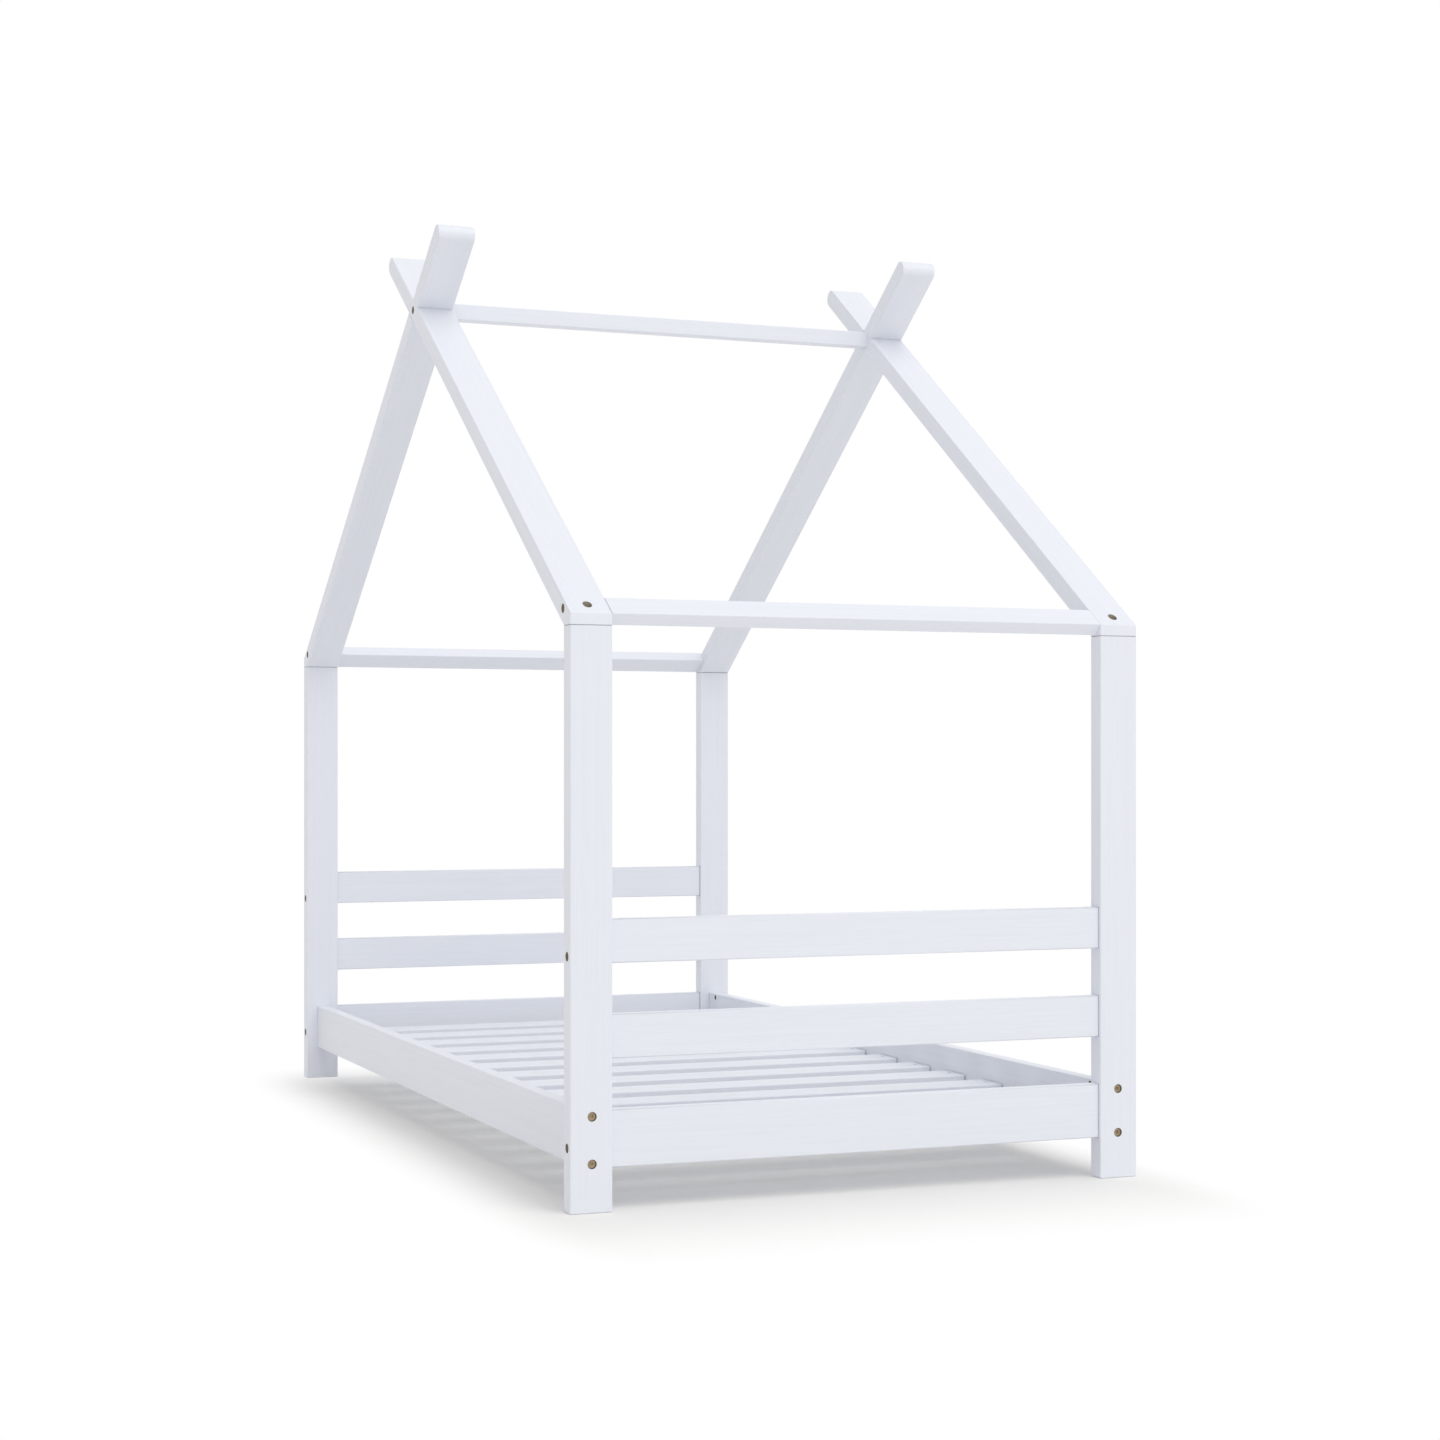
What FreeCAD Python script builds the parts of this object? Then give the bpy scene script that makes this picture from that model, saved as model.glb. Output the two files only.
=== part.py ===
"""A child's house-shaped bed frame in painted pine, as separate boards and fasteners.

X runs across the bed, Y along it with the foot end at -Y, and Z up from the floor.
The origin is on the floor, under the middle of the bed. Lengths are in millimetres.
"""

import FreeCAD, Part
import math
import os
from dataclasses import dataclass

# Lying space
LYING_WIDTH = 800.0
LYING_LENGTH = 1600.0
LYING_SIDE_GAP = 8.0  # free room beside the lying space, on each side
LYING_END_GAP = 6.0  # free room beyond the lying space, at each end

# Posts, and the edges of the boards
POST_WIDTH = 62.0  # across the bed, and the rafters' width too
POST_DEPTH = 29.0  # along the bed
POST_HEIGHT = 816.5
EDGE_RADIUS = 1.5  # edges of the boards

# Rails
RAIL_FLOOR_GAP = 61.0  # from the floor to the lowest rails
SIDE_RAIL_HEIGHT = 81.0
SIDE_RAIL_THICKNESS = 22.0
SIDE_RAIL_SETBACK = 21.0  # behind the posts' outer side faces
END_RAIL_THICKNESS = 26.0
BOTTOM_RAIL_HEIGHT = 81.0
GUARD_RAIL_HEIGHT = 62.0
GUARD_GAP = 71.0  # open height under each guard rail

# Roof
ROOF_PITCH = 34.55  # degrees
RAFTER_THICKNESS = 30.5
RAFTER_BROW_RADIUS = 3.0  # upper edge of the toe
RAFTER_TAIL = 193.0  # from the crossing to the rounded tip
LAP_CLEARANCE = 0.2  # on each side of a lapped rafter
EAVES_BAR_WIDTH = 42.0  # up the slope
EAVES_BAR_THICKNESS = 20.0
RIDGE_BAR_HEIGHT = 26.5
RIDGE_BAR_DEPTH = 28.0

# Slats, and the ledgers that carry them
SLAT_COUNT = 12
SLAT_WIDTH = 70.0
SLAT_THICKNESS = 18.0
SLAT_END_GAP = 2.0  # between a slat's end and the side rail
SLAT_EDGE_RADIUS = 2.5
LEDGER_WIDTH = 25.0
LEDGER_HEIGHT = 20.0
LEDGER_RISE = 2.0  # above the side rail's lower edge
LEDGER_END_GAP = 50.0  # keeps the ledger clear of the nuts in the side rail
LEDGER_OVERHANG = 5.0  # ledger beyond the first and last slats

# Bolts, sunk in round pockets
BOLT_DIAMETER = 6.0
BOLT_HEAD_DIAMETER = 10.0
BOLT_HEAD_HEIGHT = 6.0
BOLT_HEAD_CHAMFER = 0.6
BOLT_SOCKET_WIDTH = 5.0  # across the flats of the hexagonal socket
BOLT_SOCKET_DEPTH = 3.0
BOLT_HEAD_RECESS = 2.5  # head below the surface
POCKET_CLEARANCE = 1.7  # round the head
BOLT_CLEARANCE = 0.5  # round the shank, in wood
THREAD_CLEARANCE = 0.05  # round the shank, in a nut
BOLT_OVERRUN = 8.0  # bolt beyond the middle of a barrel nut
BOLT_END_ROOM = 2.0  # drilled beyond the bolt's end

# Places of the bolts
SIDE_BOLT_RISE = 7.0  # above a side rail's lower edge
SIDE_BOLT_DROP = 8.0  # below its upper edge
BOTTOM_BOLT_RISE = 29.0  # above a bottom rail's lower edge
GUARD_BOLT_RISE = 10.0  # above a guard rail's lower edge
FOOT_BOLT_SETBACK = 18.0  # behind a post's end face
EAVES_BOLT_EDGE = 11.5  # from an eaves bar's upper edge
EAVES_BOLT_DROP = 2.5  # below the middle of the bar's thickness

# Nuts
NUT_DIAMETER = 10.0
NUT_LENGTH = 14.0
NUT_SETBACK = 35.0  # from a rail's end to the nut's middle
NUT_CLEARANCE = 0.1
NUT_SLOT_WIDTH = 1.2
NUT_SLOT_DEPTH = 1.5
INSERT_DIAMETER = 10.0
INSERT_LENGTH = 25.0

# Dowels
DOWEL_DIAMETER = 8.0
DOWEL_LENGTH = 30.0
DOWEL_CLEARANCE = 0.1
DOWEL_END_ROOM = 1.0  # drilled beyond each end
DOWEL_CHAMFER = 1.0
SIDE_DOWEL_RISE = 10.0  # above the middle of a side rail
BOTTOM_DOWEL_DROP = 20.0  # below a bottom rail's upper edge
GUARD_DOWEL_EDGE = 16.0  # from a guard rail's upper and lower edges

# Wood screws
SCREW_DIAMETER = 4.0
SCREW_HEAD_DIAMETER = 8.0
SCREW_CLEARANCE = 0.1
SCREW_TIP_LENGTH = 4.0
SLAT_SCREW_COVER = 4.0  # wood left under the tip in the ledger
LEDGER_SCREW_COVER = 8.0  # wood left beyond the tip in the side rail

# Places across and along the bed that follow from the sizes above
side_rail_inner = LYING_WIDTH / 2 + LYING_SIDE_GAP
side_rail_outer = side_rail_inner + SIDE_RAIL_THICKNESS
side_rail_middle = side_rail_inner + SIDE_RAIL_THICKNESS / 2
half_width = side_rail_outer + SIDE_RAIL_SETBACK
post_inner_x = half_width - POST_WIDTH
post_middle_x = half_width - POST_WIDTH / 2
post_inner_y = LYING_LENGTH / 2 + LYING_END_GAP
post_middle_y = post_inner_y + POST_DEPTH / 2
half_length = post_inner_y + POST_DEPTH

# Heights of the rails
side_rail_top = RAIL_FLOOR_GAP + SIDE_RAIL_HEIGHT
bottom_rail_top = RAIL_FLOOR_GAP + BOTTOM_RAIL_HEIGHT
lower_guard_bottom = bottom_rail_top + GUARD_GAP
lower_guard_top = lower_guard_bottom + GUARD_RAIL_HEIGHT
upper_guard_bottom = lower_guard_top + GUARD_GAP
upper_guard_top = upper_guard_bottom + GUARD_RAIL_HEIGHT

# Roof slope: a rafter's plumb height, the upright face over the post's outer edge, and the crossing
pitch = math.radians(ROOF_PITCH)
rafter_plumb_height = RAFTER_THICKNESS / math.cos(pitch)
toe_height = rafter_plumb_height - POST_DEPTH * math.tan(pitch)
crossing_z = POST_HEIGHT + post_inner_y * math.tan(pitch) + rafter_plumb_height / 2
crossing_along = half_length / math.cos(pitch) - RAFTER_THICKNESS / 2 * math.tan(pitch)

# Slats and ledgers
ledger_bottom = RAIL_FLOOR_GAP + LEDGER_RISE
ledger_top = ledger_bottom + LEDGER_HEIGHT
ledger_inner = side_rail_inner - LEDGER_WIDTH
ledger_half_length = post_inner_y - LEDGER_END_GAP
slat_top = ledger_top + SLAT_THICKNESS
first_slat_y = SLAT_WIDTH / 2 + LEDGER_OVERHANG - ledger_half_length
slat_spacing = -2 * first_slat_y / (SLAT_COUNT - 1)
slat_places = [first_slat_y + k * slat_spacing for k in range(SLAT_COUNT)]
ledger_screw_places = [y + slat_spacing / 2 for y in slat_places[:-1:2]]

# Holes for bolt heads, and countersinks
pocket_radius = BOLT_HEAD_DIAMETER / 2 + POCKET_CLEARANCE
pocket_depth = BOLT_HEAD_HEIGHT + BOLT_HEAD_RECESS
screw_head_height = (SCREW_HEAD_DIAMETER - SCREW_DIAMETER) / 2

ENDS = {"foot": -1, "head": 1}
SIDES = {"left": -1, "right": 1}
X = FreeCAD.Vector(1, 0, 0)
Y = FreeCAD.Vector(0, 1, 0)
Z = FreeCAD.Vector(0, 0, 1)
NEAR = 0.01  # closer than this, two heights are the same


def at(x, y, z):
    """Point in space."""
    return FreeCAD.Vector(x, y, z)


def block(x_pair, y_pair, z_pair):
    """Box between two values on each axis, given in either order."""
    low = at(min(x_pair), min(y_pair), min(z_pair))
    size = at(max(x_pair), max(y_pair), max(z_pair)) - low
    return Part.makeBox(size.x, size.y, size.z, low)


def runs_along(edge, axis):
    """Whether a straight edge runs along an axis."""
    run = edge.lastVertex().Point - edge.firstVertex().Point
    return run.Length > NEAR and abs(run.dot(axis)) > run.Length - NEAR


def lies_at(edge, height):
    """Whether an edge lies level at a height."""
    box = edge.BoundBox
    return abs(box.ZMin - height) < NEAR and abs(box.ZMax - height) < NEAR


def board(x_pair, y_pair, z_pair, axis, radius=EDGE_RADIUS):
    """Planed board with rounded long edges along the axis."""
    solid = block(x_pair, y_pair, z_pair)
    return solid.makeFillet(radius, [edge for edge in solid.Edges if runs_along(edge, axis)])


def lines(*points):
    """Straight edges through the points, in order."""
    return [Part.makeLine(a, b) for a, b in zip(points, points[1:])]


def drawn_out(outline, x_pair):
    """Closed outline in the plane X = 0, drawn out between two values of X."""
    face = Part.Face(Part.Wire(outline))
    face.translate(X * min(x_pair))
    return face.extrude(X * (max(x_pair) - min(x_pair)))


def turned(*corners):
    """Solid of revolution about Z from (radius, height) corners that start and end on the axis."""
    points = [at(radius, 0, height) for radius, height in corners]
    face = Part.Face(Part.makePolygon(points + points[:1]))
    return face.revolve(at(0, 0, 0), Z, 360)


def placed(solid, position, way):
    """Solid built along +Z from the origin, moved to a position and turned to point a way."""
    solid.Placement = FreeCAD.Placement(position, FreeCAD.Rotation(Z, way))
    return solid


def on_slope(end, along, below):
    """Point of a roof slope: along it from the post's outer face, and below its top face."""
    start = at(0, end * half_length, POST_HEIGHT + toe_height)
    up = at(0, -end * math.cos(pitch), math.sin(pitch))
    outward = at(0, end * math.sin(pitch), math.cos(pitch))
    return start + up * along - outward * below


@dataclass
class Bolt:
    """Socket-head bolt that starts at a point on the wood's face and runs a way into the wood."""

    face: FreeCAD.Vector
    way: FreeCAD.Vector
    depth: float  # from the face to the bolt's end
    pocket: float = pocket_depth  # from the face to the underside of the head

    def solid(self):
        head = BOLT_HEAD_DIAMETER / 2
        shank = BOLT_DIAMETER / 2
        length = BOLT_HEAD_HEIGHT + self.depth - self.pocket
        body = turned(
            (0, 0),
            (head - BOLT_HEAD_CHAMFER, 0),
            (head, BOLT_HEAD_CHAMFER),
            (head, BOLT_HEAD_HEIGHT),
            (shank, BOLT_HEAD_HEIGHT),
            (shank, length),
            (0, length),
        )
        corner = BOLT_SOCKET_WIDTH / 2 / math.cos(math.pi / 6)
        angles = [k * math.pi / 3 for k in range(7)]
        hexagon = Part.makePolygon([at(corner * math.cos(a), corner * math.sin(a), 0) for a in angles])
        socket = Part.Face(hexagon).extrude(Z * BOLT_SOCKET_DEPTH)
        head_top = self.face + self.way * (self.pocket - BOLT_HEAD_HEIGHT)
        return placed(body.cut(socket), head_top, self.way)

    def hole(self):
        rise = 2 * pocket_radius  # takes the pocket out through a sloping face too
        pocket = Part.makeCylinder(pocket_radius, self.pocket + rise, self.face - self.way * rise, self.way)
        bore_radius = BOLT_DIAMETER / 2 + BOLT_CLEARANCE
        bore = Part.makeCylinder(bore_radius, self.depth + BOLT_END_ROOM, self.face, self.way)
        return pocket.fuse(bore)


@dataclass
class BarrelNut:
    """Cross-drilled round nut on a bolt, pushed a way into the rail through one of its faces."""

    middle: FreeCAD.Vector
    way: FreeCAD.Vector
    bolt_way: FreeCAD.Vector
    depth: float  # from the rail's face to the nut's middle

    def solid(self):
        radius = NUT_DIAMETER / 2
        start = self.middle - self.way * (NUT_LENGTH / 2)
        body = Part.makeCylinder(radius, NUT_LENGTH, start, self.way)
        thread_radius = BOLT_DIAMETER / 2 + THREAD_CLEARANCE
        thread_start = self.middle - self.bolt_way * radius
        thread = Part.makeCylinder(thread_radius, NUT_DIAMETER, thread_start, self.bolt_way)
        slot = block((-NUT_SLOT_WIDTH / 2, NUT_SLOT_WIDTH / 2), (-radius, radius), (0, NUT_SLOT_DEPTH))
        return body.cut(thread).cut(placed(slot, start, self.way))

    def hole(self):
        radius = NUT_DIAMETER / 2 + NUT_CLEARANCE
        length = self.depth + NUT_LENGTH / 2 + NUT_CLEARANCE
        return Part.makeCylinder(radius, length, self.middle - self.way * self.depth, self.way)


@dataclass
class InsertNut:
    """Threaded sleeve in a board's end, flush with the end face."""

    face: FreeCAD.Vector
    way: FreeCAD.Vector

    def solid(self):
        sleeve = Part.makeCylinder(INSERT_DIAMETER / 2, INSERT_LENGTH, self.face, self.way)
        thread_radius = BOLT_DIAMETER / 2 + THREAD_CLEARANCE
        return sleeve.cut(Part.makeCylinder(thread_radius, INSERT_LENGTH, self.face, self.way))

    def hole(self):
        radius = INSERT_DIAMETER / 2 + NUT_CLEARANCE
        return Part.makeCylinder(radius, INSERT_LENGTH, self.face, self.way)


@dataclass
class Dowel:
    """Wooden pin across the joint of two boards, half in each."""

    middle: FreeCAD.Vector
    way: FreeCAD.Vector

    def solid(self):
        radius = DOWEL_DIAMETER / 2
        body = turned(
            (0, 0),
            (radius - DOWEL_CHAMFER, 0),
            (radius, DOWEL_CHAMFER),
            (radius, DOWEL_LENGTH - DOWEL_CHAMFER),
            (radius - DOWEL_CHAMFER, DOWEL_LENGTH),
            (0, DOWEL_LENGTH),
        )
        return placed(body, self.middle - self.way * (DOWEL_LENGTH / 2), self.way)

    def hole(self):
        radius = DOWEL_DIAMETER / 2 + DOWEL_CLEARANCE
        length = DOWEL_LENGTH + 2 * DOWEL_END_ROOM
        return Part.makeCylinder(radius, length, self.middle - self.way * (length / 2), self.way)


@dataclass
class Screw:
    """Countersunk wood screw, flush with the face where it starts."""

    face: FreeCAD.Vector
    way: FreeCAD.Vector
    length: float

    def shape(self, room):
        head = SCREW_HEAD_DIAMETER / 2 + room
        shank = SCREW_DIAMETER / 2 + room
        body = turned(
            (0, 0),
            (head, 0),
            (shank, screw_head_height),
            (shank, self.length - SCREW_TIP_LENGTH + room),
            (0, self.length + room),
        )
        return placed(body, self.face, self.way)

    def solid(self):
        return self.shape(0)

    def hole(self):
        return self.shape(SCREW_CLEARANCE)


@dataclass
class EndRail:
    """Heights of a rail across an end: its edges, its bolts and its dowels."""

    bottom: float
    top: float
    bolts: tuple
    dowels: tuple


END_RAILS = {
    "upper_guard_rail": EndRail(
        upper_guard_bottom,
        upper_guard_top,
        bolts=(upper_guard_bottom + GUARD_BOLT_RISE,),
        dowels=(upper_guard_top - GUARD_DOWEL_EDGE,),
    ),
    "lower_guard_rail": EndRail(
        lower_guard_bottom,
        lower_guard_top,
        bolts=(),
        dowels=(lower_guard_bottom + GUARD_DOWEL_EDGE, lower_guard_top - GUARD_DOWEL_EDGE),
    ),
    "bottom_rail": EndRail(
        RAIL_FLOOR_GAP,
        bottom_rail_top,
        bolts=(RAIL_FLOOR_GAP + BOTTOM_BOLT_RISE,),
        dowels=(bottom_rail_top - BOTTOM_DOWEL_DROP,),
    ),
}


# Joints: each gives its fasteners, by group


def side_rail_joint(side, end):
    """Side rail on its post: two bolts along the bed, with nuts from the rail's inner face, and a dowel."""
    x = side * side_rail_middle
    heights = (RAIL_FLOOR_GAP + SIDE_BOLT_RISE, side_rail_top - SIDE_BOLT_DROP)
    nut_y = end * (post_inner_y - NUT_SETBACK)
    dowel_z = RAIL_FLOOR_GAP + SIDE_RAIL_HEIGHT / 2 + SIDE_DOWEL_RISE
    bolt_depth = POST_DEPTH + NUT_SETBACK + BOLT_OVERRUN
    return {
        "side_rail_bolts": [Bolt(at(x, end * half_length, z), Y * -end, bolt_depth) for z in heights],
        "side_rail_barrel_nuts": [
            BarrelNut(at(x, nut_y, z), X * side, Y, SIDE_RAIL_THICKNESS / 2) for z in heights
        ],
        "side_rail_dowels": [Dowel(at(x, end * post_inner_y, dowel_z), Y)],
    }


def end_rail_joint(side, end, rail):
    """End rail on its post: bolts across the bed, with nuts from the rail's underside, and dowels."""
    y = end * post_middle_y
    nut_x = side * (post_inner_x - NUT_SETBACK)
    bolt_depth = POST_WIDTH + NUT_SETBACK + BOLT_OVERRUN
    return {
        "end_rail_bolts": [Bolt(at(side * half_width, y, z), X * -side, bolt_depth) for z in rail.bolts],
        "end_rail_barrel_nuts": [BarrelNut(at(nut_x, y, z), Z, X, z - rail.bottom) for z in rail.bolts],
        "end_rail_dowels": [Dowel(at(side * post_inner_x, y, z), X) for z in rail.dowels],
    }


def rafter_foot_joint(side, end):
    """Rafter on its post, by an upright bolt whose head sits level under the slope."""
    y = end * (half_length - FOOT_BOLT_SETBACK)
    slope_rise = toe_height + FOOT_BOLT_SETBACK * math.tan(pitch)
    level_pocket = pocket_depth + pocket_radius * math.tan(pitch)
    seat = at(side * post_middle_x, y, POST_HEIGHT)
    return {
        "rafter_foot_bolts": [Bolt(seat + Z * slope_rise, -Z, slope_rise + INSERT_LENGTH, level_pocket)],
        "roof_insert_nuts": [InsertNut(seat, -Z)],
    }


def roof_bar_joint(side, place, bolt_group):
    """Bar across the roof on a rafter, by a bolt through the rafter into the bar's end."""
    return {
        bolt_group: [Bolt(X * side * half_width + place, X * -side, POST_WIDTH + INSERT_LENGTH)],
        "roof_insert_nuts": [InsertNut(X * side * post_inner_x + place, X * -side)],
    }


def eaves_bar_joint(side, end):
    """Eaves bar on the foot of a rafter."""
    below = EAVES_BAR_THICKNESS / 2 + EAVES_BOLT_DROP
    place = on_slope(end, EAVES_BAR_WIDTH - EAVES_BOLT_EDGE, below)
    return roof_bar_joint(side, place, "eaves_bar_bolts")


def ridge_bar_joint(side):
    """Ridge bar on two crossing rafters, which the same bolt holds together."""
    return roof_bar_joint(side, at(0, 0, crossing_z), "ridge_bar_bolts")


def slat_joint(side, y):
    """Slat on its ledger."""
    face = at(side * (ledger_inner + LEDGER_WIDTH / 2), y, slat_top)
    return {"slat_screws": [Screw(face, -Z, SLAT_THICKNESS + LEDGER_HEIGHT - SLAT_SCREW_COVER)]}


def ledger_joint(side):
    """Ledger on its side rail, screwed between the slats."""
    length = LEDGER_WIDTH + SIDE_RAIL_THICKNESS - LEDGER_SCREW_COVER
    faces = [at(side * ledger_inner, y, ledger_bottom + LEDGER_HEIGHT / 2) for y in ledger_screw_places]
    return {"ledger_screws": [Screw(face, X * side, length) for face in faces]}


def drilled(solid, *joints):
    """Solid with the holes of every fastener in the joints cut out of it."""
    for joint in joints:
        for group in joint.values():
            for fastener in group:
                solid = solid.cut(fastener.hole())
    return solid


# Boards


def make_post(side, end):
    """Post with all its edges rounded, drilled for the rails and the rafter."""
    x_pair = (side * post_inner_x, side * half_width)
    post = block(x_pair, (end * post_inner_y, end * half_length), (0, POST_HEIGHT))
    post = post.makeFillet(EDGE_RADIUS, post.Edges)
    end_rails = [end_rail_joint(side, end, rail) for rail in END_RAILS.values()]
    return drilled(post, side_rail_joint(side, end), *end_rails, rafter_foot_joint(side, end))


def make_side_rail(side):
    """Long rail between the posts of one side."""
    x_pair = (side * side_rail_inner, side * side_rail_outer)
    rail = board(x_pair, (-post_inner_y, post_inner_y), (RAIL_FLOOR_GAP, side_rail_top), Y)
    ends = [side_rail_joint(side, end) for end in ENDS.values()]
    return drilled(rail, *ends, ledger_joint(side))


def make_end_rail(end, rail):
    """Rail across one end, a little thinner than the posts are deep."""
    middle = end * post_middle_y
    y_pair = (middle - END_RAIL_THICKNESS / 2, middle + END_RAIL_THICKNESS / 2)
    solid = board((-post_inner_x, post_inner_x), y_pair, (rail.bottom, rail.top), X)
    return drilled(solid, *[end_rail_joint(side, end, rail) for side in SIDES.values()])


def slope_bar(end, along_pair, below_pair, x_pair):
    """Bar with a rectangular section that lies in a roof slope."""
    (low, high), (top, bottom) = along_pair, below_pair
    places = ((low, top), (high, top), (high, bottom), (low, bottom))
    corners = [on_slope(end, along, below) for along, below in places]
    return drawn_out(lines(*corners, corners[0]), x_pair)


def rafter_outline(end):
    """Side outline of a rafter: level seat, plumb toe, straight run and a full round tip."""
    tip = crossing_along + RAFTER_TAIL
    nose = tip - RAFTER_THICKNESS / 2
    heel = at(0, end * post_inner_y, POST_HEIGHT)
    toe = at(0, end * half_length, POST_HEIGHT)
    nose_top = on_slope(end, nose, 0)
    nose_tip = on_slope(end, tip, RAFTER_THICKNESS / 2)
    nose_bottom = on_slope(end, nose, RAFTER_THICKNESS)
    straight = lines(nose_bottom, heel, toe, on_slope(end, 0, 0), nose_top)
    return straight + [Part.Arc(nose_top, nose_tip, nose_bottom).toShape()]


def lap_notch(side, end):
    """Room for the rafter that crosses: a foot rafter gives up its inner half, a head rafter its outer half."""
    along_pair = (crossing_along - RAFTER_TAIL, crossing_along + RAFTER_TAIL)
    below_pair = (-LAP_CLEARANCE, RAFTER_THICKNESS + LAP_CLEARANCE)
    given_up = post_inner_x if end == ENDS["foot"] else half_width
    return slope_bar(-end, along_pair, below_pair, (side * post_middle_x, side * given_up))


def make_rafter(side, end):
    """Rafter that sits sharp-edged on its post and is half-lapped with the one it crosses."""
    rafter = drawn_out(rafter_outline(end), (side * post_inner_x, side * half_width))
    brow = [edge for edge in rafter.Edges if lies_at(edge, POST_HEIGHT + toe_height)]
    rafter = rafter.makeFillet(RAFTER_BROW_RADIUS, brow)
    side_edges = [edge for edge in rafter.Edges if edge.BoundBox.XLength < NEAR]
    rafter = rafter.makeFillet(EDGE_RADIUS, [edge for edge in side_edges if not lies_at(edge, POST_HEIGHT)])
    rafter = rafter.cut(lap_notch(side, end))
    return drilled(rafter, rafter_foot_joint(side, end), eaves_bar_joint(side, end), ridge_bar_joint(side))


def make_eaves_bar(end):
    """Thin bar in the roof's plane between two rafters, flush with their tops."""
    bar = slope_bar(end, (0, EAVES_BAR_WIDTH), (0, EAVES_BAR_THICKNESS), (-post_inner_x, post_inner_x))
    bar = bar.makeFillet(EDGE_RADIUS, [edge for edge in bar.Edges if runs_along(edge, X)])
    return drilled(bar, *[eaves_bar_joint(side, end) for side in SIDES.values()])


def make_ridge_bar():
    """Bar between the two pairs of crossing rafters."""
    y_pair = (-RIDGE_BAR_DEPTH / 2, RIDGE_BAR_DEPTH / 2)
    z_pair = (crossing_z - RIDGE_BAR_HEIGHT / 2, crossing_z + RIDGE_BAR_HEIGHT / 2)
    bar = board((-post_inner_x, post_inner_x), y_pair, z_pair, X)
    return drilled(bar, *[ridge_bar_joint(side) for side in SIDES.values()])


def make_slat_ledger(side):
    """Batten along the inside of a side rail that carries the slats."""
    x_pair = (side * ledger_inner, side * side_rail_inner)
    y_pair = (-ledger_half_length, ledger_half_length)
    ledger = board(x_pair, y_pair, (ledger_bottom, ledger_top), Y)
    return drilled(ledger, ledger_joint(side), *[slat_joint(side, y) for y in slat_places])


def make_slat(y):
    """Slat across the bed."""
    half = side_rail_inner - SLAT_END_GAP
    y_pair = (y - SLAT_WIDTH / 2, y + SLAT_WIDTH / 2)
    slat = board((-half, half), y_pair, (ledger_top, slat_top), X, SLAT_EDGE_RADIUS)
    return drilled(slat, *[slat_joint(side, y) for side in SIDES.values()])


def make_boards():
    """All wooden boards, by name."""
    boards = {"ridge_bar": make_ridge_bar()}
    for end_name, end in ENDS.items():
        boards[f"{end_name}_eaves_bar"] = make_eaves_bar(end)
        for rail_name, rail in END_RAILS.items():
            boards[f"{end_name}_{rail_name}"] = make_end_rail(end, rail)
        for side_name, side in SIDES.items():
            boards[f"{end_name}_{side_name}_post"] = make_post(side, end)
            boards[f"{end_name}_{side_name}_rafter"] = make_rafter(side, end)
    for side_name, side in SIDES.items():
        boards[f"{side_name}_side_rail"] = make_side_rail(side)
        boards[f"{side_name}_slat_ledger"] = make_slat_ledger(side)
    for number, y in enumerate(slat_places, start=1):
        boards[f"slat_{number:02d}"] = make_slat(y)
    return boards


def all_joints():
    """Every joint of the bed."""
    joints = []
    for side in SIDES.values():
        joints += [ridge_bar_joint(side), ledger_joint(side)]
        joints += [slat_joint(side, y) for y in slat_places]
        for end in ENDS.values():
            joints += [side_rail_joint(side, end), rafter_foot_joint(side, end), eaves_bar_joint(side, end)]
            joints += [end_rail_joint(side, end, rail) for rail in END_RAILS.values()]
    return joints


def make_fasteners():
    """All fasteners, like ones together as a group of separate solids."""
    groups = {}
    for joint in all_joints():
        for name, fasteners in joint.items():
            groups.setdefault(name, []).extend(fastener.solid() for fastener in fasteners)
    return {name: Part.makeCompound(solids) for name, solids in groups.items()}


os.makedirs("parts", exist_ok=True)
for name, shape in {**make_boards(), **make_fasteners()}.items():
    shape.exportStep(f"parts/{name}.step")
    print(f"{name}: {len(shape.Solids)} solids, {shape.Volume / 1000:.1f} cm3, valid {shape.isValid()}")
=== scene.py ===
"""A child's house-shaped bed, dressed over its frame of boards and fasteners.

The boards get a painted finish, and all but the end rails keep their solids. End rails, bolts, screws and
dowels are modelled again, finer.
Lengths are in metres and follow the frame: X across the bed, Y from the foot to the head, Z up.
"""

import math
from dataclasses import dataclass

import bmesh
import bpy
from mathutils import Matrix, Vector


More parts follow.
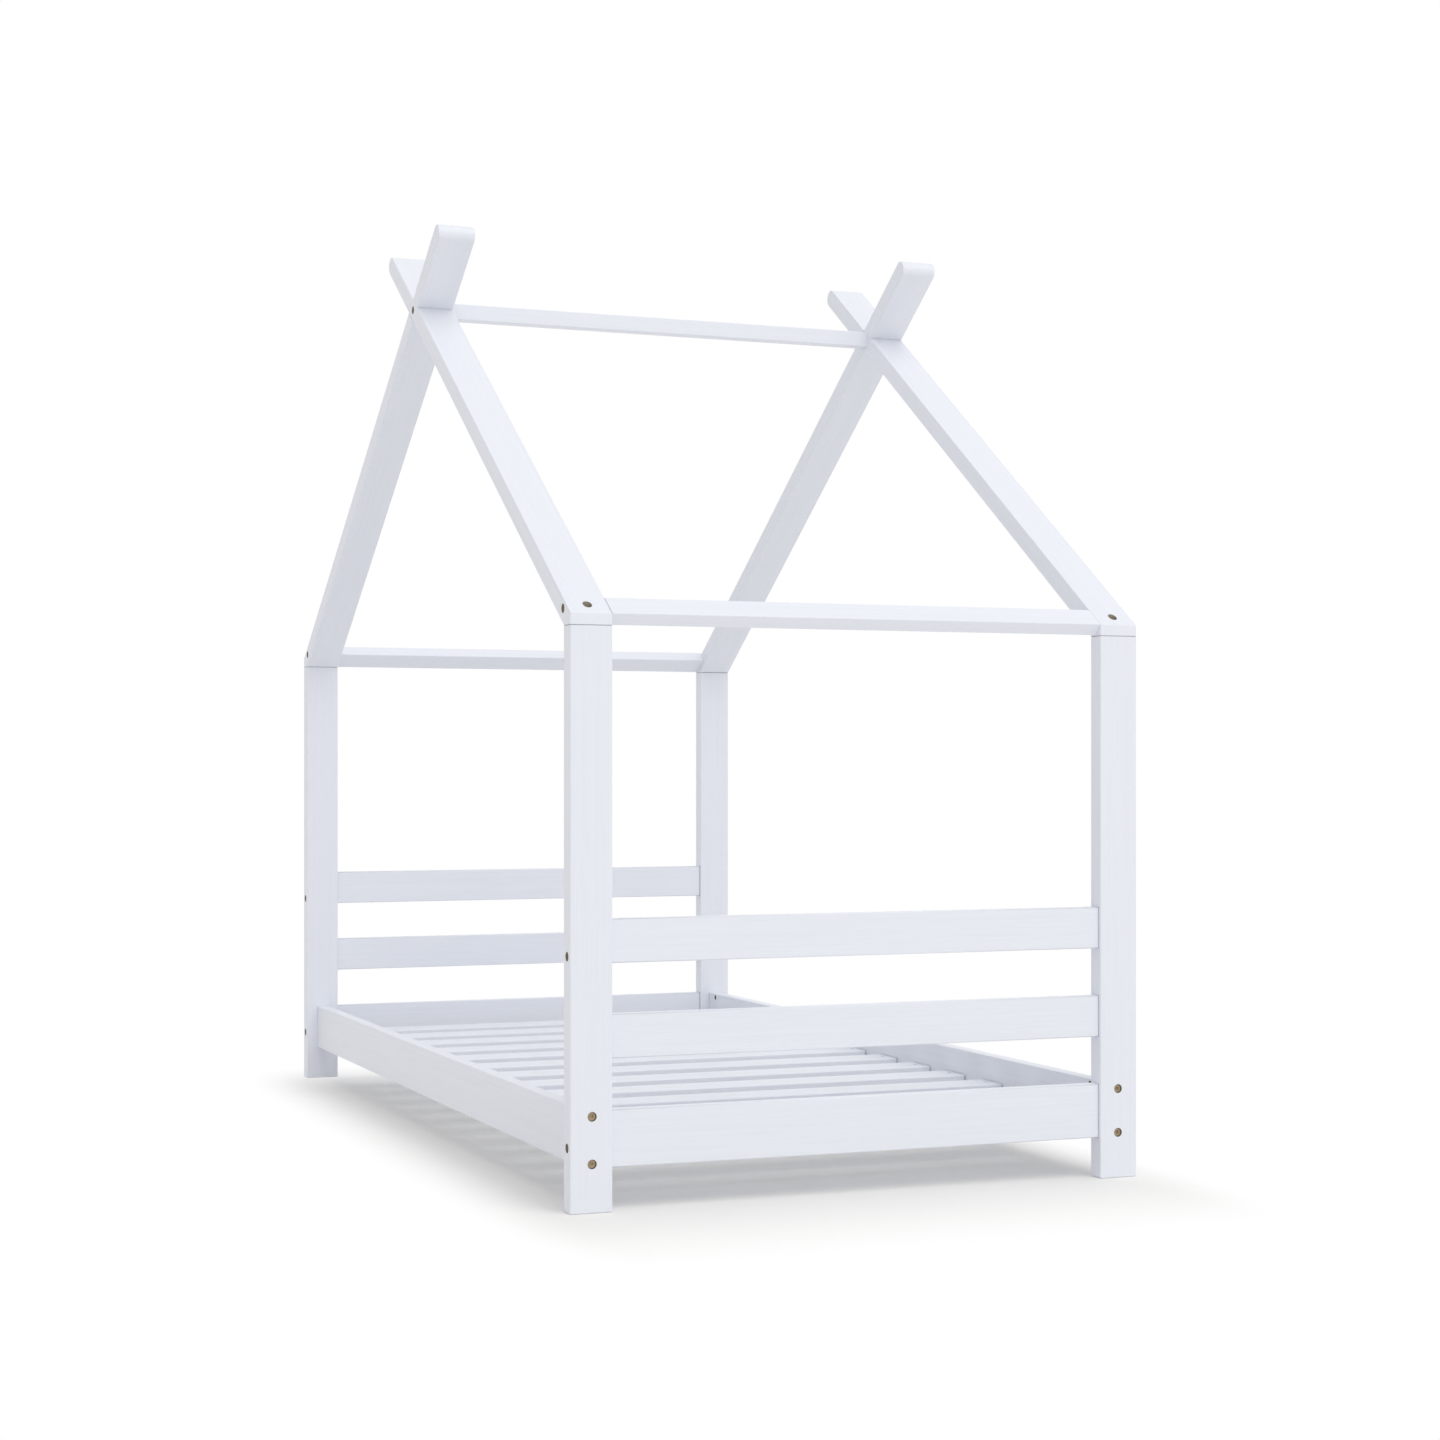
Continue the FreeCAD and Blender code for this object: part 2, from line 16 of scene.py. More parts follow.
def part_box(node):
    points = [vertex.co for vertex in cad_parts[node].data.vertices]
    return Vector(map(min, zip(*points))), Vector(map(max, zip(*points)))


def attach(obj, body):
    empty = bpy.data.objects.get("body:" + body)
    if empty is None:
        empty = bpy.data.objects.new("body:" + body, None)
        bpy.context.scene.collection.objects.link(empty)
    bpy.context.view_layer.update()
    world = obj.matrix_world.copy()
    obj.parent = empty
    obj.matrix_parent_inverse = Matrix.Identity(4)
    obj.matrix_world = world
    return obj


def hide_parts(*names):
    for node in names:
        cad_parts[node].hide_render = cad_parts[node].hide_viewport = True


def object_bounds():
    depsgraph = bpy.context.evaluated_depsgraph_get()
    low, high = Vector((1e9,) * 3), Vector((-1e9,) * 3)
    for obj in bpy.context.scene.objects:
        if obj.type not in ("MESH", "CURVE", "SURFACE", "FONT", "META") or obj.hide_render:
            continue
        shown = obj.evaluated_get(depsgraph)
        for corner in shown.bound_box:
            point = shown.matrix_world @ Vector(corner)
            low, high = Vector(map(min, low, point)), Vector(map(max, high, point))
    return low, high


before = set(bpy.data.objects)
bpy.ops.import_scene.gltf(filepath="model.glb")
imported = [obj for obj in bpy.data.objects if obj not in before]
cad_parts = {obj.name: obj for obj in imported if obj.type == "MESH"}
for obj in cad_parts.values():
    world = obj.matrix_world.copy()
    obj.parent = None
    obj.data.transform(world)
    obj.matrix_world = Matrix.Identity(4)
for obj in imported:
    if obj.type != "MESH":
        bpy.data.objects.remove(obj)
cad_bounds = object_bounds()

bl_info = {
    "name": "House bed",
    "version": (1, 0, 0),
    "blender": (4, 5, 0),
    "location": "3D View > Sidebar > House bed",
    "description": "Paint, hardware and studio for a child's house-shaped bed",
    "category": "Object",
}

MM = 0.001
MERGE = MM / 1000  # points closer than this are one point
SENSOR_WIDTH = 36.0  # of the camera, in mm
BODY = "root"
X, Y, Z = Vector((1, 0, 0)), Vector((0, 1, 0)), Vector((0, 0, 1))

# Nodes of the frame, by what they are
BOLT_NODES = [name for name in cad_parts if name.endswith("_bolts")]
SCREW_NODES = [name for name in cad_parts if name.endswith("_screws")]
NUT_NODES = [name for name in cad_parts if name.endswith("_nuts")]
DOWEL_NODES = [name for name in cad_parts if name.endswith("_dowels")]
HARDWARE_NODES = BOLT_NODES + SCREW_NODES + NUT_NODES + DOWEL_NODES
BOARD_NODES = [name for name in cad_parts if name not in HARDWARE_NODES]
END_RAIL_NODES = [name for name in BOARD_NODES if name.endswith(("_guard_rail", "_bottom_rail"))]


def linear(hex_colour):
    """Linear red, green and blue of an sRGB hex colour."""
    shares = [int(hex_colour[k:k + 2], 16) / 255 for k in (0, 2, 4)]
    return tuple(c / 12.92 if c <= 0.04045 else ((c + 0.055) / 1.055) ** 2.4 for c in shares)


# Settings that a user would change


class PaintSettings(bpy.types.PropertyGroup):
    """Finish of the boards."""

    paint: bpy.props.FloatVectorProperty(
        name="Paint", description="White satin lacquer, a little cool",
        subtype="COLOR", size=3, min=0, max=1, default=linear("EDF0F8"),
    )
    paint_thin: bpy.props.FloatVectorProperty(
        name="Thin paint", description="The same lacquer where the grain keeps it thin",
        subtype="COLOR", size=3, min=0, max=1, default=linear("EAEDF5"),
    )
    # Painted shade: this colour darkens the lacquer in a strip at a board's end, where it meets another
    # board, standing for the shade in the joint. The three widths below set how wide that painted strip is.
    seam: bpy.props.FloatVectorProperty(
        name="Seam", description="The same lacquer in the shade of a seam between two boards",
        subtype="COLOR", size=3, min=0, max=1, default=linear("B4B6BE"),
    )
    painted_shade_width: bpy.props.FloatProperty(
        name="Seam width", description="Shaded strip along the end of a board, where it meets another",
        unit="LENGTH", min=0, max=3 * MM, default=0.55 * MM,
    )
    bar_painted_shade_width: bpy.props.FloatProperty(
        name="Bar seam width", description="The same strip on the thin bars across the roof",
        unit="LENGTH", min=0, max=3 * MM, default=0.12 * MM,
    )
    rail_painted_shade_width: bpy.props.FloatProperty(
        name="Rail seam width",
        description="The same strip on the end rails, deep behind the faces of the posts",
        unit="LENGTH", min=0, max=3 * MM, default=1.1 * MM,
    )
    bare_pine: bpy.props.FloatVectorProperty(
        name="Bare pine", description="Unpainted wood inside the drilled holes",
        subtype="COLOR", size=3, min=0, max=1, default=linear("9C9284"),
    )
    ring_spacing: bpy.props.FloatProperty(
        name="Ring spacing", description="Distance between growth rings on the face of a board",
        unit="LENGTH", min=1 * MM, max=20 * MM, default=5 * MM,
    )
    fibre_width: bpy.props.FloatProperty(
        name="Fibre width", description="Width of the fine streaks along the grain",
        unit="LENGTH", min=0.2 * MM, max=5 * MM, default=1.4 * MM,
    )
    pocket_room: bpy.props.FloatProperty(
        name="Pocket room", description="From a bolt's head to the painted face round its pocket",
        unit="LENGTH", min=0, max=4 * MM, default=1.75 * MM,
    )
    pocket_reach: bpy.props.FloatProperty(
        name="Pocket reach", description="Bare wood beyond a bolt's ends, out through the face of the board",
        unit="LENGTH", min=0, max=20 * MM, default=13 * MM,
    )
    nut_room: bpy.props.FloatProperty(
        name="Nut room", description="From a nut to the painted face round its hole",
        unit="LENGTH", min=0, max=2 * MM, default=0.15 * MM,
    )
    side_nut_reach: bpy.props.FloatProperty(
        name="Side nut reach",
        description="Bare wood beyond a nut in a side rail, short of the rail's outer face",
        unit="LENGTH", min=0, max=4 * MM, default=3.9 * MM,
    )
    end_nut_reach: bpy.props.FloatProperty(
        name="End nut reach",
        description="Bare wood under a nut in an end rail, down to the rail's lower edge",
        unit="LENGTH", min=0, max=30 * MM, default=22.5 * MM,
    )


class RailSettings(bpy.types.PropertyGroup):
    """Fine forms of the rails across the ends."""

    setback: bpy.props.FloatProperty(
        name="Setback", description="From the faces of the posts back to the faces of the end rails",
        unit="LENGTH", min=1.5 * MM, max=7 * MM, default=5.5 * MM,
    )
    core: bpy.props.FloatProperty(
        name="Core", description="Width at the middle of an end rail that holds its drilled holes",
        unit="LENGTH", min=11 * MM, max=13 * MM, default=12 * MM,
    )


class HardwareSettings(bpy.types.PropertyGroup):
    """Finish and fine forms of the fasteners."""

    bronze: bpy.props.FloatVectorProperty(
        name="Bronze", description="Bronzed plating of the bolts",
        subtype="COLOR", size=3, min=0, max=1, default=linear("A8957C"),
    )
    zinc: bpy.props.FloatVectorProperty(
        name="Zinc", description="Bright zinc plating of the screws and nuts",
        subtype="COLOR", size=3, min=0, max=1, default=linear("C9CBD0"),
    )
    beech: bpy.props.FloatVectorProperty(
        name="Beech", description="Bare beech of the dowels",
        subtype="COLOR", size=3, min=0, max=1, default=linear("D2A679"),
    )
    socket_width: bpy.props.FloatProperty(
        name="Socket width", description="Across the flats of a bolt's hexagonal socket",
        unit="LENGTH", min=2 * MM, max=8 * MM, default=5 * MM,
    )
    socket_depth: bpy.props.FloatProperty(
        name="Socket depth", description="Depth of a bolt's hexagonal socket",
        unit="LENGTH", min=1 * MM, max=4 * MM, default=2.8 * MM,
    )
    head_height: bpy.props.FloatProperty(
        name="Head height", description="Height of a bolt's head",
        unit="LENGTH", min=2 * MM, max=8 * MM, default=6 * MM,
    )
    brim: bpy.props.FloatProperty(
        name="Brim", description="Flat brim round a bolt's head, which nearly fills its pocket",
        unit="LENGTH", min=0.5 * MM, max=1.5 * MM, default=1.4 * MM,
    )
    brim_thickness: bpy.props.FloatProperty(
        name="Brim thickness", description="Thickness of the brim round a bolt's head",
        unit="LENGTH", min=0.5 * MM, max=3 * MM, default=1.4 * MM,
    )
    cross_reach: bpy.props.FloatProperty(
        name="Cross reach", description="From the middle of a screw's cross recess to the tip of an arm",
        unit="LENGTH", min=1 * MM, max=4 * MM, default=2.3 * MM,
    )
    flute: bpy.props.FloatProperty(
        name="Flute", description="Depth of the flutes along a dowel",
        unit="LENGTH", min=0, max=0.5 * MM, default=0.25 * MM,
    )


class StudioSettings(bpy.types.PropertyGroup):
    """Floor, light and camera."""

    camera_place: bpy.props.FloatVectorProperty(
        name="Camera place", description="Where the camera stands, low before the foot end",
        subtype="TRANSLATION", size=3, default=(-1.5657, -4.1595, 0.6233),
    )
    camera_heading: bpy.props.FloatProperty(
        name="Camera heading", description="Turn of the level camera from the bed's length",
        subtype="ANGLE", default=-0.3742,
    )
    lens: bpy.props.FloatProperty(
        name="Lens", description="Focal length of the camera in mm", default=63.33, min=10, max=300,
    )
    shift: bpy.props.FloatVectorProperty(
        name="Shift", description="Shift of the picture, as a share of its width",
        size=2, default=(0.01476, 0.03063),
    )
    floor_colour: bpy.props.FloatVectorProperty(
        name="Floor", description="Plain pale floor",
        subtype="COLOR", size=3, min=0, max=1, default=linear("F5F4F2"),
    )
    floor_width: bpy.props.FloatProperty(
        name="Floor width", description="Width of the square floor", unit="LENGTH", default=60.0,
    )
    floor_gap: bpy.props.FloatProperty(
        name="Floor gap", description="Hair of room under the posts", unit="LENGTH", default=0.2 * MM,
    )
    fade: bpy.props.FloatVectorProperty(
        name="Fade",
        description="Distances over which the floor turns white, beside the bed and beyond its ends",
        unit="LENGTH", size=2, min=0.01, default=(0.14, 0.42),
    )
    shade_inset: bpy.props.FloatVectorProperty(
        name="Shade inset",
        description="How far inside the bed's right side and head end the floor starts to turn white",
        unit="LENGTH", size=2, min=0, default=(0.05, 0.25),
    )
    dome: bpy.props.FloatVectorProperty(
        name="Dome",
        description="Strength of the soft light from all around, at the far left and at the far right",
        size=2, min=0, default=(0.645, 0.835),
    )
    key_power: bpy.props.FloatProperty(
        name="Key light", description="Power of the large soft lamp before the foot end",
        subtype="POWER", default=537.0,
    )
    key_place: bpy.props.FloatVectorProperty(
        name="Key place", description="Where the large soft lamp hangs",
        subtype="TRANSLATION", size=3, default=(1.2, -8.0, 11.5),
    )
    key_width: bpy.props.FloatProperty(
        name="Key width", description="Diameter of the large soft lamp", unit="LENGTH", default=12.0,
    )


SETTINGS = {
    "house_bed_paint": PaintSettings,
    "house_bed_rails": RailSettings,
    "house_bed_hardware": HardwareSettings,
    "house_bed_studio": StudioSettings,
}


# Node trees


def add_node(tree, kind, settings=None, inputs=None):
    """Adds a node, sets its own values, and sets or links its inputs by name or number."""
    node = tree.nodes.new(kind)
    for name, value in (settings or {}).items():
        setattr(node, name, value)
    for key, value in (inputs or {}).items():
        if isinstance(value, bpy.types.NodeSocket):
            tree.links.new(value, node.inputs[key])
        else:
            node.inputs[key].default_value = value
    return node


def new_material(name):
    """Empty material with its output node."""
    material = bpy.data.materials.new(name)
    material.use_nodes = True
    tree = material.node_tree
    tree.nodes.clear()
    return material, tree, add_node(tree, "ShaderNodeOutputMaterial")


def with_alpha(colour):
    """Colour for a node's socket."""
    return (*colour, 1.0)


# Fasteners of the frame


@dataclass
class Fastener:
    """One fastener of the frame: the middle of its outer face, the way it points, its length and radius."""

    face: Vector
    way: Vector
    length: float
    radius: float

    @property
    def middle(self):
        """Middle of its length."""
        return self.face + self.way * (self.length / 2)


def loose_solids(node):
    """Points of each separate solid in a node of the frame."""
    bm = bmesh.new()
    bm.from_mesh(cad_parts[node].data)
    bmesh.ops.remove_doubles(bm, verts=bm.verts, dist=MERGE)
    left = set(bm.verts)
    solids = []
    while left:
        found = [left.pop()]
        for vert in found:
            near = {edge.other_vert(vert) for edge in vert.link_edges} & left
            left -= near
            found.extend(near)
        solids.append([vert.co.copy() for vert in found])
    bm.free()
    return solids


def measured(points):
    """Fastener that a solid's points make, along its longest side, with its wide end as its outer face."""
    low = Vector(map(min, *points))
    high = Vector(map(max, *points))
    size = high - low
    axis = max((X, Y, Z), key=size.dot)
    middle = (low + high) / 2
    length = size.dot(axis)

    def reach(point):
        """Distance from the axis."""
        offset = point - middle
        return (offset - axis * offset.dot(axis)).length

    def end_reach(way):
        """Widest reach within a millimetre of an end."""
        return max(reach(p) for p in points if (p - middle).dot(way) > length / 2 - MM)

    way = axis if end_reach(-axis) >= end_reach(axis) else -axis
    return Fastener(middle - way * (length / 2), way, length, max(map(reach, points)))


def to_tenth(point):
    """Point to a tenth of a millimetre, for telling places apart."""
    return tuple(round(c, 4) for c in point)


def fasteners(node):
    """Fasteners of a node, in an order that stays the same."""
    found = [measured(points) for points in loose_solids(node)]
    return sorted(found, key=lambda fastener: to_tenth(fastener.face))


# Finishes


def drilled_mask(settings):
    """Node group that is 1 inside the drilled holes of bolts and nuts.

    The holes mirror each other about the bed's middle, so those of one quarter stand for all.
    """
    group = bpy.data.node_groups.new("inside drilled holes", "ShaderNodeTree")
    group.interface.new_socket("Mask", in_out="OUTPUT", socket_type="NodeSocketFloat")
    place = add_node(group, "ShaderNodeTexCoord").outputs["Object"]
    mirrored = add_node(group, "ShaderNodeVectorMath", {"operation": "ABSOLUTE"}, {0: place}).outputs[0]
    rooms = {node: (settings.pocket_room, settings.pocket_reach) for node in BOLT_NODES}
    rooms["side_rail_barrel_nuts"] = (settings.nut_room, settings.side_nut_reach)
    rooms["end_rail_barrel_nuts"] = (settings.nut_room, settings.end_nut_reach)
    holes = {}
    for node, (room, reach) in rooms.items():
        for fastener in fasteners(node):
            middle = Vector(map(abs, fastener.middle))
            size = (fastener.radius + room, fastener.length / 2 + reach)
            holes.setdefault(to_tenth(middle), (fastener, *size))
    mask = None
    for middle, (fastener, radius, half_length) in holes.items():
        along = Vector(map(abs, fastener.way))
        across = Vector((1, 1, 1)) - along
        offset = add_node(group, "ShaderNodeVectorMath", {"operation": "SUBTRACT"}, {0: mirrored, 1: middle})
        spans = []
        for part, limit in ((across, radius), (along, half_length)):
            kept = add_node(
                group, "ShaderNodeVectorMath", {"operation": "MULTIPLY"}, {0: offset.outputs[0], 1: part}
            )
            span = add_node(group, "ShaderNodeVectorMath", {"operation": "LENGTH"}, {0: kept.outputs[0]})
            inside = add_node(
                group, "ShaderNodeMath", {"operation": "LESS_THAN"}, {0: span.outputs["Value"], 1: limit}
            )
            spans.append(inside.outputs[0])
        both = add_node(group, "ShaderNodeMath", {"operation": "MULTIPLY"}, {0: spans[0], 1: spans[1]})
        if mask is None:
            mask = both.outputs[0]
        else:
            mask = add_node(
                group, "ShaderNodeMath", {"operation": "MAXIMUM"}, {0: mask, 1: both.outputs[0]}
            ).outputs[0]
    add_node(group, "NodeGroupOutput", None, {"Mask": mask})
    return group


WOOD_IOR = 1.5  # of lacquer and of bare wood

# Painted pine
RING_LENGTH = 400 * MM  # how far a growth ring's streak runs along the board
FIBRE_LENGTH = 60 * MM  # the same for a fibre, which is drawn coarser than real, so that it shows
PEEL_WIDTH = 2.5 * MM  # the faint ripple of sprayed lacquer
FINE_SHARE = 0.55  # how much finer noise adds to coarse noise
THIN_GRAIN = (0.14, 0.38)  # strength of the grain where the lacquer starts to thin, and where it is thinnest
LACQUER_ROUGHNESS = (0.38, 0.46)  # of full and of thin lacquer
GRAIN_RELIEF = 2.0  # height of the grain against that of the ripple
LACQUER_BUMP = 0.06
LACQUER_DEPTH = 0.15 * MM


def painted_pine(name, turn, seam, settings, mask_group):
    """Planed pine under sprayed satin lacquer: white, with rings and fibres that show as faint streaks.

    The lacquer fills the grain, so the eye sees little colour, and soft changes of gloss along the board.
    At a board's end against another, given as an axis, a place on it and a width, a strip is painted in
    shade.
    """
    material, tree, output = new_material(name)
    place = add_node(tree, "ShaderNodeTexCoord").outputs["Object"]
    along_grain = add_node(
        tree, "ShaderNodeMapping", None, {"Vector": place, "Rotation": turn}
    ).outputs[0]

    def streaks(length, width, detail):
        """Noise drawn out along the grain."""
        stretch = add_node(
            tree, "ShaderNodeMapping", None,
            {"Vector": along_grain, "Scale": (1 / length, 1 / width, 1 / width)},
        )
        noise = add_node(
            tree, "ShaderNodeTexNoise", None,
            {"Vector": stretch.outputs[0], "Scale": 1.0, "Detail": detail, "Roughness": FINE_SHARE},
        )
        return noise.outputs["Fac"]

    rings = streaks(RING_LENGTH, settings.ring_spacing, detail=2.0)
    fibres = streaks(FIBRE_LENGTH, settings.fibre_width, detail=3.0)
    peel = add_node(
        tree, "ShaderNodeTexNoise", None, {"Vector": place, "Scale": 1 / PEEL_WIDTH, "Detail": 1.0}
    ).outputs["Fac"]
    grain = add_node(tree, "ShaderNodeMath", {"operation": "MULTIPLY"}, {0: rings, 1: fibres}).outputs[0]
    thin = add_node(
        tree, "ShaderNodeMapRange", None,
        {"Value": grain, "From Min": THIN_GRAIN[0], "From Max": THIN_GRAIN[1]},
    ).outputs[0]
    paint = add_node(
        tree, "ShaderNodeMix", {"data_type": "RGBA"},
        {0: thin, 6: with_alpha(settings.paint), 7: with_alpha(settings.paint_thin)},
    ).outputs[2]
    # Painted shade: a strip of darker lacquer at the board's end, where it meets another board
    if seam:
        axis, seam_place, painted_shade_width = seam
        mirrored = add_node(tree, "ShaderNodeVectorMath", {"operation": "ABSOLUTE"}, {0: place}).outputs[0]
        along = add_node(tree, "ShaderNodeVectorMath", {"operation": "DOT_PRODUCT"}, {0: mirrored, 1: axis})
        in_painted_shade = add_node(
            tree, "ShaderNodeMath", {"operation": "COMPARE"},
            {0: along.outputs["Value"], 1: seam_place, 2: painted_shade_width},
        ).outputs[0]
        paint = add_node(
            tree, "ShaderNodeMix", {"data_type": "RGBA"}, {0: in_painted_shade, 6: paint, 7: with_alpha(settings.seam)}
        ).outputs[2]
    mask = add_node(tree, "ShaderNodeGroup", {"node_tree": mask_group}).outputs["Mask"]
    colour = add_node(
        tree, "ShaderNodeMix", {"data_type": "RGBA"}, {0: mask, 6: paint, 7: with_alpha(settings.bare_pine)}
    ).outputs[2]
    lacquer = add_node(
        tree, "ShaderNodeMapRange", None,
        {"Value": thin, "To Min": LACQUER_ROUGHNESS[0], "To Max": LACQUER_ROUGHNESS[1]},
    ).outputs[0]
    roughness = add_node(tree, "ShaderNodeMath", {"operation": "MAXIMUM"}, {0: lacquer, 1: mask}).outputs[0]
    relief = add_node(
        tree, "ShaderNodeMath", {"operation": "MULTIPLY_ADD"}, {0: grain, 1: GRAIN_RELIEF, 2: peel}
    ).outputs[0]
    bump = add_node(
        tree, "ShaderNodeBump", None,
        {"Strength": LACQUER_BUMP, "Distance": LACQUER_DEPTH, "Height": relief},
    ).outputs[0]
    shader = add_node(
        tree, "ShaderNodeBsdfPrincipled", None,
        {"Base Color": colour, "Roughness": roughness, "Normal": bump, "IOR": WOOD_IOR},
    )
    tree.links.new(shader.outputs[0], output.inputs["Surface"])
    return material


# Plated steel
BOLT_ROUGHNESS = 0.42
SCREW_ROUGHNESS = 0.34
NUT_ROUGHNESS = 0.38
ROUGHNESS_SPREAD = 0.08
TUMBLE_WIDTH = 0.8 * MM  # marks of the tumbling barrel, drawn coarser than real, so that they show
TUMBLE_SHADES = (0.85, 1.1)
TUMBLE_BUMP = 0.15
TUMBLE_DEPTH = 0.05 * MM


def plated_steel(name, colour, roughness):
    """Plated steel, turned and tumbled: a metal with a soft sheen, as its fine marks spread the light."""
    material, tree, output = new_material(name)
    place = add_node(tree, "ShaderNodeTexCoord").outputs["Object"]
    tumbled = add_node(
        tree, "ShaderNodeTexNoise", None, {"Vector": place, "Scale": 1 / TUMBLE_WIDTH, "Detail": 3.0}
    ).outputs["Fac"]
    shade = add_node(
        tree, "ShaderNodeMapRange", None,
        {"Value": tumbled, "To Min": TUMBLE_SHADES[0], "To Max": TUMBLE_SHADES[1]},
    ).outputs[0]
    tint = add_node(
        tree, "ShaderNodeVectorMath", {"operation": "SCALE"}, {0: tuple(colour), "Scale": shade}
    ).outputs[0]
    gloss = add_node(
        tree, "ShaderNodeMapRange", None,
        {"Value": tumbled, "To Min": roughness - ROUGHNESS_SPREAD, "To Max": roughness + ROUGHNESS_SPREAD},
    ).outputs[0]
    bump = add_node(
        tree, "ShaderNodeBump", None,
        {"Strength": TUMBLE_BUMP, "Distance": TUMBLE_DEPTH, "Height": tumbled},
    ).outputs[0]
    shader = add_node(
        tree, "ShaderNodeBsdfPrincipled", None,
        {"Base Color": tint, "Metallic": 1.0, "Roughness": gloss, "Normal": bump},
    )
    tree.links.new(shader.outputs[0], output.inputs["Surface"])
    return material


# Bare beech
FLECK_WIDTH = 1.2 * MM
FLECK_SHADES = (0.75, 1.15)
BEECH_ROUGHNESS = 0.7


def bare_beech(name, colour):
    """Turned beech, unfinished: pale brown with short darker flecks."""
    material, tree, output = new_material(name)
    place = add_node(tree, "ShaderNodeTexCoord").outputs["Object"]
    flecks = add_node(
        tree, "ShaderNodeTexNoise", None, {"Vector": place, "Scale": 1 / FLECK_WIDTH, "Detail": 4.0}
    ).outputs["Fac"]
    shade = add_node(
        tree, "ShaderNodeMapRange", None,
        {"Value": flecks, "To Min": FLECK_SHADES[0], "To Max": FLECK_SHADES[1]},
    ).outputs[0]
    tint = add_node(
        tree, "ShaderNodeVectorMath", {"operation": "SCALE"}, {0: tuple(colour), "Scale": shade}
    ).outputs[0]
    shader = add_node(
        tree, "ShaderNodeBsdfPrincipled", None,
        {"Base Color": tint, "Roughness": BEECH_ROUGHNESS, "IOR": WOOD_IOR},
    )
    tree.links.new(shader.outputs[0], output.inputs["Surface"])
    return material


def give(node, material):
    """Puts a material on a node of the frame."""
    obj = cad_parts[node]
    for slot in obj.material_slots:
        slot.material = material


# Fine forms of the fasteners, built from the outer face at the origin along +Z

# Steps of a full turn, which a hexagon, a cross and the flutes divide evenly
BOLT_STEPS = 48
SCREW_STEPS = 64
DOWEL_STEPS = 48
ROUNDING_STEPS = 4  # of the quarter turn over a brim's edge
SHARP_ANGLE = math.radians(40)
GOLDEN_ANGLE = math.pi * (3 - math.sqrt(5))


def lathe(bm, profile, steps):
    """Spins (radius, height) points about Z and merges the points where the turn meets its start."""
    verts = [bm.verts.new((radius, 0, height)) for radius, height in profile]
    edges = [bm.edges.new(pair) for pair in zip(verts, verts[1:])]
    bmesh.ops.spin(
        bm, geom=verts + edges, cent=(0, 0, 0), axis=Z, angle=2 * math.pi, steps=steps, use_merge=True
    )
    bmesh.ops.remove_doubles(bm, verts=bm.verts, dist=MERGE)


def next_ring(bm, ring, reach, height):
    """Extrudes a ring of edges, with each new point at its reach from the axis and at a height."""
    grown = bmesh.ops.extrude_edge_only(bm, edges=ring)["geom"]
    for vert in [item for item in grown if isinstance(item, bmesh.types.BMVert)]:
        angle = math.atan2(vert.co.y, vert.co.x)
        radius = reach(angle)
        vert.co = (radius * math.cos(angle), radius * math.sin(angle), height)
    return [item for item in grown if isinstance(item, bmesh.types.BMEdge) and item.is_boundary]


def close_ring(bm, ring, height):
    """Closes a ring of edges in a point on the axis."""
    grown = bmesh.ops.extrude_edge_only(bm, edges=ring)["geom"]
    verts = [item for item in grown if isinstance(item, bmesh.types.BMVert)]
    bmesh.ops.pointmerge(bm, verts=verts, merge_co=(0, 0, height))


def hexagon(width):
    """Reach of a hexagon across its flats, by angle."""
    sixth = math.pi / 3
    return lambda angle: width / 2 / math.cos((angle + sixth / 2) % sixth - sixth / 2)


def cross(reach, half_width):
    """Reach of a cross with four arms, by angle."""

    def at_angle(angle):
        turn = abs((angle + math.pi / 4) % (math.pi / 2) - math.pi / 4)
        return min(reach, half_width / max(math.sin(turn), half_width / reach))

    return at_angle


def bolt_shape(bolt, settings):
    """Socket-head bolt: flat brim with a rounded edge, countersunk socket, drilled bottom, chamfered end."""
    shank_radius = 3 * MM
    chamfer = 0.6 * MM
    neck = 0.3 * MM
    under_edge = 0.2 * MM
    fillet = 0.5 * MM
    countersink = 0.35 * MM
    drill_tip = 0.9 * MM
    head = settings.head_height
    rim = bolt.radius + settings.brim
    mouth = settings.socket_width / 2 / math.cos(math.pi / 6) + countersink
    angles = [k * math.pi / 2 / ROUNDING_STEPS for k in range(ROUNDING_STEPS + 1)]
    brim_edge = [(rim - fillet + fillet * math.cos(a), fillet - fillet * math.sin(a)) for a in angles]
    bm = bmesh.new()
    lathe(
        bm,
        [
            (0, bolt.length),
            (shank_radius - chamfer, bolt.length),
            (shank_radius, bolt.length - chamfer),
            (shank_radius, head + neck),
            (shank_radius + neck, head),
            (bolt.radius - under_edge, head),
            (bolt.radius, head - under_edge),
            (bolt.radius, settings.brim_thickness),
            (rim, settings.brim_thickness),
            *brim_edge,
            (mouth, 0),
        ],
        BOLT_STEPS,
    )
    ring = [edge for edge in bm.edges if edge.is_boundary]
    flats = hexagon(settings.socket_width)
    ring = next_ring(bm, ring, flats, countersink)
    ring = next_ring(bm, ring, flats, settings.socket_depth)
    close_ring(bm, ring, settings.socket_depth + drill_tip)
    return bm


